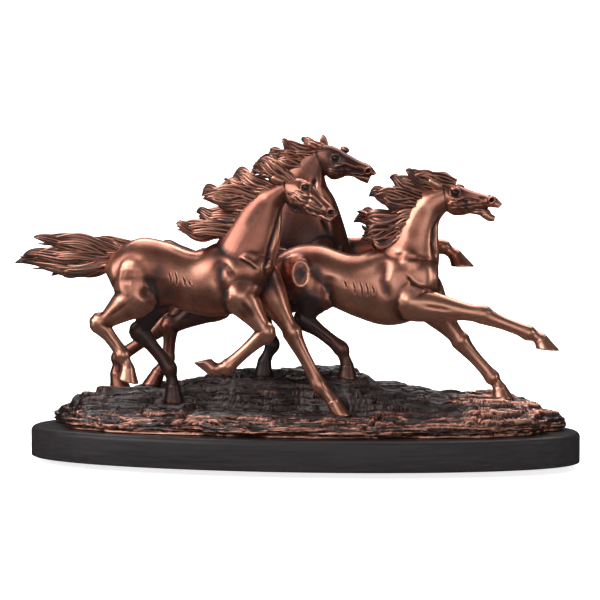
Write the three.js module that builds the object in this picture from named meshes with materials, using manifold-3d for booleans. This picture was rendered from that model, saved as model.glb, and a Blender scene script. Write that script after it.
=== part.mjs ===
// Three galloping horses cast as one with a layered rock, on a black oval plinth.
// Millimetres, +Z up, +X the way the horses run. The origin is the middle of the plinth's underside.

import * as THREE from 'three';
import { mergeVertices } from 'three/addons/utils/BufferGeometryUtils.js';
import Module from 'manifold-3d';

const wasm = await Module();
wasm.setup();

// Plinth: an oval board, a little fuller than an ellipse, with a rounded top edge
const PLINTH_LENGTH = 400;
const PLINTH_DEPTH = 150;
const PLINTH_THICK = 22;
const PLINTH_EDGE = 3.9;
const PLINTH_FULLNESS = [1.95, 2.2];
const PLINTH_SIDES = 56;

// Rock: a mound on the plinth, steep at its rim, with a low terrace in front and a long ridge behind
const ROCK_GAP = 0.3;
const ROCK_LENGTH = 366;
const ROCK_MIDDLE_X = 1.5;
const ROCK_DEPTH = 130;
const ROCK_SIDES = 42;
const ROCK_LEDGES = [0.34, 0.6, 0.8, 0.94];
const LEDGE_WIDTH = 0.012;
const LEDGE_LOOK = 0.045;
const LEDGE_WANDER = [[0.22, 3, 9], [0.16, 7, 20]];
const ROCK_LIP = 7;
const ROCK_RIM_SHARE = 0.09;
// The front terrace rises to a share of the ridge; a steep bank then leads up to it, and at the right end
// the terrace itself is nearly as high as the ridge
const TERRACE_SHARE = 0.32;
const END_SHARE = 0.88;
const END_X = [96, 158];
const TERRACE_Y = [-78, -34];
const BANK_Y = [-27, -9];
const ROCK_RIDGE = [[-182, 35], [-164, 42], [-146, 48], [-120, 48], [-92, 52], [-46, 62], [-12, 59], [22, 62],
  [40, 55], [64, 51], [90, 47.5], [128, 48.5], [152, 46.5], [166, 43], [184, 41]];
// Unevenness as size, then how fast it changes along and across, and the chips of the rim as size and number
const ROCK_LUMPS = [[1.3, 0.055, 0.09], [0.9, 0.13, -0.05]];
const RIM_CHIPS = [[0.02, 7], [0.014, 13], [0.01, 23]];

// The body's half widths from buttock to chest, and from withers to poll
const TRUNK_WIDTHS = [7, 13.5, 16.5, 16.5, 17, 17.5, 17, 15, 10];
const NECK_WIDTHS = [13, 13.5, 11, 9, 7.8, 6.6];
const NECK_ROOT = 0.7;
const HEAD_WIDTHS = [5.6, 6.9, 6.2, 4.6, 4.3, 3.6];
const CHIN_WIDTHS = [3.6, 3.6, 3.2, 2.6];

// Girth of a leg: how far along its bone, then the half depth seen from the side and the half width
const HIND_GIRTH = [
  [[0, 18, 10.5], [0.5, 17.5, 10.5], [1, 14.5, 9.5]],
  [[0.32, 11.6, 8.1], [0.72, 7.3, 5.7], [1, 7.6, 5.4]],
  [[0.2, 6.1, 4.6], [0.6, 4.8, 3.9], [1, 5.9, 4.9]],
  [[0.5, 4.3, 4], [1, 5.1, 4.8]],
];
const FORE_GIRTH = [
  [[0, 9, 6.5], [0.5, 14, 9], [1, 13, 9]],
  [[0.3, 10.8, 8], [0.72, 6.9, 5.7], [1, 7.2, 5.8]],
  [[0.2, 5.8, 4.7], [0.6, 4.7, 3.9], [1, 5.8, 4.9]],
  [[0.5, 4.3, 4], [1, 5.1, 4.8]],
];
const HIP_SPREAD = 6.5;
const LEG_SPREAD = 10;
const SOLE_WIDTH = 0.44;
// An ear as shares of its length with its half width there
const EAR_GIRTH = [[0, 2.4], [0.5, 3.3], [1, 1.2]];
const EAR_FLATNESS = 0.6;
const EAR_LEAN = 0.8;

// How many sides and steps each form has
const TRUNK_SIDES = 14;
const TRUNK_STEPS = 10;
const NECK_SIDES = 11;
const NECK_STEPS = 5;
const HEAD_SIDES = 10;
const HEAD_STEPS = 6;
const CHIN_STEPS = 4;
const LEG_SIDES = 8;
const LOCK_SIDES = 6;
const LOCK_STEPS = 4;
const LOCK_BURIED = 6;
const LOCK_TIP = 0.1;
const LOCK_SWAY = 1.2;
const LOCK_FLATNESS = 0.6;
const LOCK_FULLNESS = 2.4;

// Every point below is [x, z] in the horse's own depth plane.
// A leg runs from hip or shoulder through its joints to the coronet, and ends with the hoof's toe and heel.
// A lock of hair is its root, middle and tip, with its half width.
const NEAR_HORSE = {
  depth: -38,
  back: [[-137, 141], [-130, 151], [-112, 160.5], [-92, 158], [-72, 151.5], [-56, 157.5], [-38, 158], [-24, 154],
    [-17, 147]],
  belly: [[-134, 132], [-126, 118], [-110, 112], [-90, 112], [-74, 107], [-56, 105], [-38, 110], [-24, 124],
    [-17, 138]],
  crest: [[-57, 157], [-47, 172], [-37, 185], [-25, 195], [-9, 202]],
  throat: [[-17, 139], [-12, 156], [-10.5, 170], [-9.5, 181], [-6, 189]],
  brow: [[-10, 202], [3, 203], [12, 198.5], [19, 190.5], [26, 184.5], [31, 178.5]],
  jaw: [[-8, 188], [-3, 180], [5, 178.3], [13, 177.4], [20, 176], [27, 174]],
  chin: { upper: [[4, 188], [15, 181], [21, 178], [27, 175]], lower: [[0, 181], [10, 177], [18, 174.6], [25.5, 172]] },
  headTurn: [-39, -41, -44, -46, -48, -50],
  ears: [[[-8, 200], [-17, 204], -5], [[-9, 200], [-17, 205], 4]],
  nearHind: [[-113, 137], [-112, 119], [-139, 100], [-122.5, 78], [-119, 68.5], [-111, 57], [-127, 61]],
  farHind: [[-108, 137], [-103, 118], [-114, 93], [-92.5, 67], [-90, 54], [-82, 42], [-97, 42]],
  nearFore: [[-34, 140], [-39, 121], [-20.5, 94.5], [-47.5, 70], [-58, 68.5], [-72, 73], [-59, 76]],
  farFore: [[-32, 142], [-22, 124], [-4.5, 93], [15.5, 56], [25, 44.5], [38.5, 34.5], [24, 34.5]],
  mane: [
    [[-44, 166], [-64, 167], [-85, 168], 7.5], [[-38, 177], [-56, 177], [-72, 177], 6.5],
    [[-34, 187], [-52, 191], [-67, 190.5], 8], [[-22, 196], [-34, 202], [-46, 204.5], 7],
    [[-8, 202], [-17, 210], [-29, 214.5], 7.5], [[-28, 191], [-42, 196], [-56, 198], 6],
  ],
  tail: [
    [[-128, 148], [-152, 157.5], [-188, 158], 7], [[-128, 147], [-162, 149], [-197, 145.5], 7],
    [[-128, 145], [-162, 141], [-204, 142], 7], [[-130, 142], [-155, 137], [-178, 134], 5],
  ],
};
const LEAD_HORSE = {
  depth: 0,
  back: [[-27, 134], [-20, 146], [-2, 154.5], [14, 154.5], [36, 148], [56, 152.5], [74, 156], [90, 152], [98, 142]],
  belly: [[-24, 126], [-14, 115], [0, 112], [18, 111], [38, 103], [58, 97], [76, 99], [90, 108], [98, 122]],
  crest: [[57, 153], [66, 163], [75, 179.5], [86, 192.5], [101, 198]],
  throat: [[98, 134], [99, 148], [98, 161], [99, 172], [104, 179]],
  brow: [[100, 197.5], [112, 197.5], [122, 194], [131, 191.5], [138, 190], [144, 184.5]],
  jaw: [[102, 181], [108, 176.5], [117, 176.5], [126, 180], [132, 182], [141, 181.5]],
  chin: {
    upper: [[112, 184], [124, 183.5], [131, 182.4], [134.8, 180.2], [136.2, 177.4], [138.8, 176.4]],
    lower: [[110, 178], [121, 177.2], [127, 176.4], [130.5, 173.8], [134, 172.2], [138.2, 171.8]],
  },
  headTurn: [-1, -2, -3, -4, -5, -6],
  ears: [[[100, 196], [91, 202], -4], [[100, 197], [91, 203], 4]],
  nearHind: [[-3, 136], [10, 119], [2.5, 101], [29.5, 80.5], [33.5, 68], [41, 58], [26, 60]],
  farHind: [[-6, 136], [-8, 119], [-32, 107], [-23, 81], [-29, 69], [-37, 58], [-23, 58]],
  nearFore: [[78, 138], [80, 114], [130, 105.5], [163, 93.5], [171.5, 88.5], [185.5, 80.5], [168, 82]],
  farFore: [[80, 138], [92, 112], [113.5, 85], [137.5, 59], [142, 51.5], [153.5, 43.5], [137, 44]],
  mane: [
    [[104, 198], [90, 202.5], [74, 205.5], 7], [[92, 193], [76, 197.5], [62, 201.5], 6.5],
    [[82, 185], [64, 189.5], [48, 189.5], 7.5], [[74, 174], [54, 171], [37, 173.5], 9.5],
    [[66, 163], [54, 159], [44, 162], 9.5], [[93, 198], [100, 203], [105.5, 199], 3.4],
  ],
  tail: [[[-18, 146], [-48, 148], [-78, 146], 7], [[-20, 142], [-44, 140], [-68, 138], 6]],
};
const FAR_HORSE = {
  depth: 38,
  back: [[-125, 138], [-119, 149], [-106, 156.5], [-94, 152], [-77, 147.5], [-50, 154], [-22, 161], [6, 160],
    [26, 156]],
  belly: [[-121, 128], [-110, 117], [-95, 113], [-78, 113], [-58, 108], [-36, 106], [-14, 109], [8, 122], [26, 142]],
  crest: [[-40, 158], [-32, 178], [-23, 200], [-12, 215], [4, 226]],
  throat: [[31, 154], [25.5, 172], [20, 187], [14.5, 196], [12, 204]],
  brow: [[2, 226.5], [17, 226.5], [28, 221], [38, 215.5], [46, 212], [51, 206]],
  jaw: [[10, 207], [18, 201], [27, 203], [36, 206], [42, 206], [49, 204]],
  chin: {
    upper: [[22, 209], [34, 207.6], [41, 206.6], [47, 204.2]],
    lower: [[22, 203], [33, 203.4], [38.5, 200.4], [44.5, 198.2]],
  },
  headTurn: [38, 37, 36, 35, 34, 33],
  ears: [[[8, 223], [0, 228.5], -4.5], [[12, 221], [10.5, 234.5], 3.5]],
  nearHind: [[-90, 134], [-66, 112], [-102, 92.5], [-104, 68], [-111, 58], [-124, 49], [-109, 48]],
  farHind: [[-96, 134], [-84, 113], [-109, 92], [-145, 67], [-147, 55], [-136, 44], [-152, 44]],
  nearFore: [[8, 146], [-2, 128], [28, 117], [8, 107], [1, 106], [-10, 109], [-2, 113]],
  farFore: [[2, 150], [18, 144], [62, 156], [99, 152], [108, 145.5], [123, 137], [105.3, 137]],
  mane: [
    [[4, 222], [-8, 223], [-20, 229], 6], [[9, 225], [1, 229], [-6, 230], 3.5], [[-4, 214], [-16, 218], [-30, 218], 7],
    [[-14, 203], [-28, 207], [-44, 206], 7], [[-22, 190], [-36, 193], [-52, 190], 7],
  ],
  tail: [[[-116, 148], [-138, 152.5], [-161, 155], 5.5], [[-116, 144], [-138, 146], [-160, 144], 6]],
};

const COPPER = { color: 0x8a5138, roughness: 0.34, metalness: 0.85 };
const BLACK_SATIN = { color: 0x1d1a1b, roughness: 0.42, metalness: 0.0 };

// A closed solid through rings of points, each ring with as many points as the next, with a point at either end
function solidThrough(rings) {
  const sides = rings[0].length;
  const points = rings.flat();
  const ends = [rings[0], rings[rings.length - 1]].map((ring) => {
    const middle = ring.reduce((sum, point) => sum.add(point), new THREE.Vector3());
    return middle.divideScalar(sides);
  });
  const first = points.length;
  const last = first + 1;
  const faces = [];
  for (let ring = 0; ring + 1 < rings.length; ring += 1) {
    for (let side = 0; side < sides; side += 1) {
      const a = ring * sides + side;
      const b = ring * sides + (side + 1) % sides;
      faces.push(a, b, b + sides, a, b + sides, a + sides);
    }
  }
  for (let side = 0; side < sides; side += 1) {
    const next = (side + 1) % sides;
    const start = (rings.length - 1) * sides;
    faces.push(first, next, side, last, start + side, start + next);
  }
  return asManifold([...points, ...ends], faces);
}

// Six times the volume that the faces enclose, negative when they point inwards
function enclosed(points, faces) {
  let total = 0;
  for (let i = 0; i < faces.length; i += 3) {
    const [a, b, c] = [points[faces[i]], points[faces[i + 1]], points[faces[i + 2]]];
    total += a.dot(new THREE.Vector3().crossVectors(b, c));
  }
  return total;
}

function asManifold(points, faces) {
  const outward = enclosed(points, faces) > 0;
  const turned = outward ? faces : faces.map((_, i) => faces[i + [0, 1, -1][i % 3]]);
  return new wasm.Manifold(new wasm.Mesh({
    numProp: 3,
    vertProperties: new Float32Array(points.flatMap((point) => point.toArray())),
    triVerts: new Uint32Array(turned),
  }));
}

// One oval ring round a centre, from a half height vector and a half width vector
function oval(centre, half, across, sides) {
  return Array.from({ length: sides }, (_, i) => {
    const angle = (i + 0.5) / sides * 2 * Math.PI;
    return centre.clone().addScaledVector(half, Math.cos(angle)).addScaledVector(across, Math.sin(angle));
  });
}

function splineOf(pairs) {
  return new THREE.SplineCurve(pairs.map(([x, z]) => new THREE.Vector2(x, z)));
}

// A value read from an evenly spaced list at t between 0 and 1
function along(list, t) {
  return splineOf(list.map((value, i) => [i, value])).getPoint(t).y;
}

// A body between an upper and a lower line that run the same way
function bodyBetween(upper, lower, widths, depths, sides, steps) {
  const top = splineOf(upper);
  const bottom = splineOf(lower);
  const rings = [];
  for (let i = 0; i <= steps; i += 1) {
    const t = i / steps;
    const high = top.getPoint(t);
    const low = bottom.getPoint(t);
    const centre = new THREE.Vector3((high.x + low.x) / 2, along(depths, t), (high.y + low.y) / 2);
    const half = new THREE.Vector3((high.x - low.x) / 2, 0, (high.y - low.y) / 2);
    rings.push(oval(centre, half, new THREE.Vector3(0, along(widths, t), 0), sides));
  }
  return solidThrough(rings);
}

// A leg from its hip or elbow to the coronet, with the hoof below it
function legSolids(path, girth, depth, side) {
  const joints = path.slice(0, -2).map(([x, z], i) => {
    const spread = i === 0 ? HIP_SPREAD : LEG_SPREAD;
    return new THREE.Vector3(x, depth + side * spread, z);
  });
  const stations = [];
  girth.forEach((bone, i) => {
    const [start, end] = [joints[i], joints[i + 1]];
    bone.forEach(([share, deep, wide]) => {
      stations.push({ at: start.clone().lerp(end, share), deep, wide });
    });
  });
  const rings = stations.map(({ at, deep, wide }, i) => {
    const before = stations[Math.max(i - 1, 0)].at;
    const after = stations[Math.min(i + 1, stations.length - 1)].at;
    const run = after.clone().sub(before).setY(0).normalize();
    const half = new THREE.Vector3(-run.z, 0, run.x).multiplyScalar(deep);
    return oval(at, half, new THREE.Vector3(0, wide, 0), LEG_SIDES);
  });
  return [solidThrough(rings), hoof(path.slice(-3), depth + side * LEG_SPREAD, stations.at(-1))];
}

// A hoof widens from the coronet to its sole, which runs from toe to heel
function hoof([coronet, toe, heel], depth, { deep, wide }) {
  const middle = [(toe[0] + heel[0]) / 2, (toe[1] + heel[1]) / 2];
  const sole = new THREE.Vector3(toe[0] - heel[0], 0, toe[1] - heel[1]).divideScalar(2);
  const run = new THREE.Vector3(middle[0] - coronet[0], 0, middle[1] - coronet[1]).normalize();
  const front = new THREE.Vector3(-run.z, 0, run.x).multiplyScalar(deep);
  if (front.dot(sole) < 0) front.negate();
  const soleAcross = new THREE.Vector3(0, sole.length() * 2 * SOLE_WIDTH, 0);
  return solidThrough([
    oval(new THREE.Vector3(coronet[0], depth, coronet[1]).addScaledVector(run, -1), front,
      new THREE.Vector3(0, wide, 0), LEG_SIDES),
    oval(new THREE.Vector3(middle[0], depth, middle[1]), sole, soleAcross, LEG_SIDES),
  ]);
}

// A lock of hair from root to tip, flat, wavy and tapering to a point
function lock([root, middle, tip, width], depth, drift) {
  const [from, to] = [new THREE.Vector2(...root), new THREE.Vector2(...middle)];
  const buried = from.clone().addScaledVector(to.sub(from).normalize(), -LOCK_BURIED);
  const path = splineOf([buried.toArray(), middle, tip]);
  const rings = [];
  for (let i = 0; i <= LOCK_STEPS; i += 1) {
    const t = i / LOCK_STEPS;
    const at = path.getPoint(t);
    const run = path.getTangent(t);
    const size = width * ((1 - t ** LOCK_FULLNESS) * THREE.MathUtils.lerp(0.85, 1.25, t) + LOCK_TIP);
    const sway = drift * t + LOCK_SWAY * Math.sin(2 * Math.PI * t);
    const centre = new THREE.Vector3(at.x, depth + sway, at.y);
    const half = new THREE.Vector3(-run.y, 0, run.x).multiplyScalar(size);
    rings.push(oval(centre, half, new THREE.Vector3(0, size * LOCK_FLATNESS, 0), LOCK_SIDES));
  }
  return solidThrough(rings);
}

// A line lengthened backwards from its first point, so that what it outlines grows out of the body
function rooted(line) {
  const [[x0, z0], [x1, z1]] = line;
  return [[x0 + (x0 - x1) * NECK_ROOT, z0 + (z0 - z1) * NECK_ROOT], ...line];
}

function ear([base, tip, side], depth) {
  const from = new THREE.Vector3(base[0], depth + side * EAR_LEAN, base[1]);
  const to = new THREE.Vector3(tip[0], depth + side, tip[1]);
  const run = to.clone().sub(from).normalize();
  const half = new THREE.Vector3(-run.z, 0, run.x);
  const rings = EAR_GIRTH.map(([share, size]) => {
    const centre = from.clone().lerp(to, share);
    const across = new THREE.Vector3(0, size * EAR_FLATNESS, 0);
    return oval(centre, half.clone().multiplyScalar(size), across, LOCK_SIDES);
  });
  return solidThrough(rings);
}

function horseSolids(horse) {
  const { depth } = horse;
  const level = [depth, depth];
  const neckTurn = [depth, depth, depth, depth, (depth + horse.headTurn[0]) / 2, horse.headTurn[0]];
  const chinTurn = horse.headTurn.slice(2);
  return [
    bodyBetween(horse.back, horse.belly, TRUNK_WIDTHS, level, TRUNK_SIDES, TRUNK_STEPS),
    bodyBetween(rooted(horse.crest), rooted(horse.throat), NECK_WIDTHS, neckTurn, NECK_SIDES, NECK_STEPS),
    bodyBetween(horse.brow, horse.jaw, HEAD_WIDTHS, horse.headTurn, HEAD_SIDES, HEAD_STEPS),
    bodyBetween(horse.chin.upper, horse.chin.lower, CHIN_WIDTHS, chinTurn, LOCK_SIDES, CHIN_STEPS),
    ...horse.ears.map((row) => ear(row, horse.headTurn[0])),
    ...legSolids(horse.nearHind, HIND_GIRTH, depth, -1),
    ...legSolids(horse.farHind, HIND_GIRTH, depth, 1),
    ...legSolids(horse.nearFore, FORE_GIRTH, depth, -1),
    ...legSolids(horse.farFore, FORE_GIRTH, depth, 1),
    ...horse.mane.map((row, i) => lock(row, depth - 1, i % 2 ? 4 : -3)),
    ...horse.tail.map((row, i) => lock(row, depth, 3 * i - 3)),
  ];
}

function ridgeHeight(x) {
  const after = ROCK_RIDGE.findIndex(([at]) => at >= x);
  if (after < 1) return ROCK_RIDGE[after === 0 ? 0 : ROCK_RIDGE.length - 1][1];
  const [[x0, z0], [x1, z1]] = [ROCK_RIDGE[after - 1], ROCK_RIDGE[after]];
  return THREE.MathUtils.lerp(z0, z1, (x - x0) / (x1 - x0));
}

// The hooves that stand on the rock, each on a pad at its sole's height
const STANDING = [
  [NEAR_HORSE, 'farHind', 1], [NEAR_HORSE, 'farFore', 1], [LEAD_HORSE, 'nearHind', -1],
  [LEAD_HORSE, 'farHind', 1], [LEAD_HORSE, 'farFore', 1], [FAR_HORSE, 'nearHind', -1],
  [FAR_HORSE, 'farHind', 1],
];
const PAD_REACH = 9;
const PAD_FADE = 12;
const HOOF_SINK = 1.4;
const PADS = STANDING.map(([horse, leg, side]) => {
  const [toe, heel] = horse[leg].slice(-2);
  const [x, z] = [(toe[0] + heel[0]) / 2, (toe[1] + heel[1]) / 2];
  return { x, y: horse.depth + side * LEG_SPREAD, z: z + HOOF_SINK };
});

// The rock's top falls from the ridge to the terrace and the rim, with a pad under each standing hoof
function rockHeight(x, y, reach) {
  const lip = PLINTH_THICK + ROCK_GAP + ROCK_LIP;
  const rim = THREE.MathUtils.smoothstep(1 - reach, -ROCK_RIM_SHARE / 2, ROCK_RIM_SHARE);
  const share = THREE.MathUtils.lerp(TERRACE_SHARE, END_SHARE, THREE.MathUtils.smoothstep(x, ...END_X));
  const slope = share * THREE.MathUtils.smoothstep(y, ...TERRACE_Y)
    + (1 - share) * THREE.MathUtils.smoothstep(y, ...BANK_Y);
  const lumps = ROCK_LUMPS.reduce((sum, [size, perX, perY]) => sum + size * Math.sin(x * perX + y * perY), 0);
  const open = lip + (ridgeHeight(x) - lip) * rim * slope + lumps * rim;
  return PADS.reduce((height, pad) => {
    const away = Math.hypot(x - pad.x, y - pad.y);
    const weight = 1 - THREE.MathUtils.smoothstep(away, PAD_REACH, PAD_REACH + PAD_FADE);
    return THREE.MathUtils.lerp(height, pad.z, weight);
  }, open);
}

function rockEdge(angle) {
  const [bendX, bendY] = PLINTH_FULLNESS;
  const chip = RIM_CHIPS.reduce((sum, [size, count]) => sum + size * Math.sin(count * (angle + size)), 1);
  const [c, s] = [Math.cos(angle), Math.sin(angle)];
  const x = ROCK_LENGTH / 2 * Math.sign(c) * Math.abs(c) ** (2 / bendX);
  const y = ROCK_DEPTH / 2 * Math.sign(s) * Math.abs(s) ** (2 / bendY);
  return [x * chip, y * chip];
}

// The rock is layered: each ledge is a ring just above a step and a ring just below it, and both wander
function rockSolid() {
  const floor = PLINTH_THICK + ROCK_GAP;
  const edge = Array.from({ length: ROCK_SIDES }, (_, i) => rockEdge(i / ROCK_SIDES * 2 * Math.PI));
  const ring = (reach, heightAt) => edge.map(([edgeX, edgeY], i) => {
    const angle = i / ROCK_SIDES * 2 * Math.PI;
    const waves = LEDGE_WANDER.map(([size, count, turn]) => size * Math.sin(count * angle + turn * reach));
    const wander = 1 + (1 - reach) * (waves[0] + waves[1]);
    const spot = (share) => [ROCK_MIDDLE_X + edgeX * share * wander, edgeY * share * wander];
    const [x, y] = spot(reach);
    return new THREE.Vector3(x, y, heightAt(spot, reach));
  });
  const sampled = (look) => (spot, reach) => rockHeight(...spot(reach + look), reach + look);
  const ledges = ROCK_LEDGES.flatMap((reach) => [
    ring(reach - LEDGE_WIDTH, sampled(-LEDGE_LOOK)), ring(reach + LEDGE_WIDTH, sampled(LEDGE_LOOK)),
  ]);
  return solidThrough([
    ring(0.1, sampled(0)), ...ledges, ring(1, () => floor + ROCK_LIP * 0.75), ring(0.985, () => floor),
  ]);
}

function plinthGeometry() {
  const [bendX, bendY] = PLINTH_FULLNESS;
  const outline = (inset) => Array.from({ length: PLINTH_SIDES }, (_, i) => {
    const angle = i / PLINTH_SIDES * 2 * Math.PI;
    const [c, s] = [Math.cos(angle), Math.sin(angle)];
    const x = (PLINTH_LENGTH / 2 - inset) * Math.sign(c) * Math.abs(c) ** (2 / bendX);
    const y = (PLINTH_DEPTH / 2 - inset) * Math.sign(s) * Math.abs(s) ** (2 / bendY);
    return [x, y];
  });
  const ring = (inset, z) => outline(inset).map(([x, y]) => new THREE.Vector3(x, y, z));
  const shoulder = PLINTH_THICK - PLINTH_EDGE;
  const eased = PLINTH_EDGE * 0.3;
  return geometryOf(solidThrough([
    ring(0, 0), ring(0, shoulder), ring(eased, PLINTH_THICK - eased), ring(PLINTH_EDGE, PLINTH_THICK),
  ]));
}

function geometryOf(solid) {
  const { vertProperties, triVerts, numProp } = solid.getMesh();
  const positions = new Float32Array(vertProperties.length / numProp * 3);
  for (let i = 0; i < positions.length / 3; i += 1) {
    positions.set(vertProperties.subarray(i * numProp, i * numProp + 3), i * 3);
  }
  const geometry = new THREE.BufferGeometry();
  geometry.setAttribute('position', new THREE.BufferAttribute(positions, 3));
  geometry.setIndex(new THREE.BufferAttribute(triVerts, 1));
  return mergeVertices(geometry, 1e-4);
}

function named(name, geometry, finish) {
  const mesh = new THREE.Mesh(geometry, new THREE.MeshStandardMaterial(finish));
  mesh.name = name;
  return mesh;
}

const horses = [NEAR_HORSE, LEAD_HORSE, FAR_HORSE].flatMap(horseSolids);
const casting = horses.reduce((whole, solid) => whole.add(solid), rockSolid());

const sculpture = new THREE.Group();
sculpture.add(named('horse_group', geometryOf(casting), COPPER));
sculpture.add(named('plinth', plinthGeometry(), BLACK_SATIN));

export default sculpture;
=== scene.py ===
# Three galloping horses cast as one with a layered rock, on a black oval plinth.
# Lengths are millimetres until a mesh is made, where they become metres. +Z is up. The horses run to +X.

import math

import bmesh
import bpy
import numpy as np
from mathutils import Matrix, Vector


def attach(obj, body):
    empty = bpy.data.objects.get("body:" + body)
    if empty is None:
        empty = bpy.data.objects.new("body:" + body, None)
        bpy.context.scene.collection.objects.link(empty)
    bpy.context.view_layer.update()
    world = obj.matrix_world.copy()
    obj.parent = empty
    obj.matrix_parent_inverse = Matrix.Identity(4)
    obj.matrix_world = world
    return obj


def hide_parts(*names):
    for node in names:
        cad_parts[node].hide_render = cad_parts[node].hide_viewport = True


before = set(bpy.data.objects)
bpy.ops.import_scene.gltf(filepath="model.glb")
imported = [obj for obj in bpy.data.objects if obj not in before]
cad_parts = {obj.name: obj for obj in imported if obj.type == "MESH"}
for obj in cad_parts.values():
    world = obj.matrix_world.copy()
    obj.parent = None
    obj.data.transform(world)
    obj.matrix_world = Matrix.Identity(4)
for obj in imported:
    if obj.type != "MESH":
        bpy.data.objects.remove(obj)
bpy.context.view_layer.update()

MM = 0.001

# Plinth: an oval board, a little fuller than an ellipse, with a rounded top edge
PLINTH_LENGTH, PLINTH_DEPTH, PLINTH_THICK = 400, 150, 22
PLINTH_EDGE = 3.9
OVAL_POWERS = (1.95, 2.2)
PLINTH_SIDES = 220

# Rock: a mound on the plinth, with a low terrace in front and a long ridge behind
ROCK_FLOOR = 22.3
ROCK_LENGTH, ROCK_DEPTH, ROCK_MIDDLE_X = 366, 130, 1.5
ROCK_LIP = 7
ROCK_RIM_SHARE = 0.09
ROCK_TURNS, ROCK_RINGS = 620, 138
# Chips along the rock's edge: how many of them there are round it, and their depth as a share of its radius
ROCK_CHIPS = [(7, 0.02), (13, 0.014), (23, 0.01)]
TERRACE_SHARE, END_SHARE, END_X = 0.32, 0.88, (96, 158)
TERRACE_Y, BANK_Y = (-78, -34), (-27, -9)
# Clefts between the front slabs: where each starts, its depth and its half width
CLEFTS = [(-84, 5.5, 2.2), (52, 3.0, 1.6), (124, 4.5, 2.0)]
ROCK_RIDGE = [(-182, 35), (-164, 42), (-146, 48), (-120, 48), (-92, 52), (-46, 62), (-12, 59), (22, 62),
              (40, 55), (64, 51), (90, 47.5), (128, 48.5), (152, 46.5), (166, 43), (184, 41)]

# Half widths of the body from buttock to chest, of the neck from withers to poll, of the head and of the chin
TRUNK_WIDTHS = [7, 13.5, 16.5, 16.5, 17, 17.5, 17, 15, 10]
NECK_WIDTHS = [13, 13.5, 11, 9, 7.8, 6.6]
NECK_ROOT = 0.7
HEAD_WIDTHS = [5.6, 6.9, 6.2, 4.6, 4.3, 3.6]
CHIN_WIDTHS = [3.6, 3.6, 3.2, 2.6]
HIP_SPREAD, LEG_SPREAD = 6.5, 10
SIDES = ((-1, "near_hind", "near_fore"), (1, "far_hind", "far_fore"))

# Girth of a leg, bone by bone: share of the bone, half depth seen from the side, half width, shift forward
HIND_GIRTH = [
    [(0, 18, 10.5, 0), (0.5, 17.5, 10.5, 0), (1, 14.5, 9.5, 0)],
    [(0.32, 11.8, 8.2, 0), (0.6, 8.6, 6.4, 0.4), (0.84, 6.4, 5, 0.6), (1, 7.6, 5.4, -0.8)],
    [(0.16, 6.4, 4.8, 0), (0.42, 4.9, 3.9, 0.3), (0.78, 4.8, 3.8, 0.2), (1, 5.9, 4.9, -0.4)],
    [(0.5, 4.2, 3.9, 0), (1, 5.0, 4.7, 0)],
]
FORE_GIRTH = [
    [(0, 9, 6.5, 0), (0.5, 14, 9, 0), (1, 13, 9, 0)],
    [(0.3, 10.8, 8, 0), (0.6, 7.8, 6.2, 0.2), (0.85, 6.2, 5.3, 0.4), (1, 7.2, 5.8, 0.5)],
    [(0.16, 6, 4.9, 0), (0.45, 4.8, 3.9, -0.1), (0.8, 4.8, 3.8, -0.2), (1, 5.8, 4.9, -0.5)],
    [(0.5, 4.2, 3.9, 0), (1, 5.0, 4.7, 0)],
]
SOLE_WIDTH = 0.44

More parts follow.
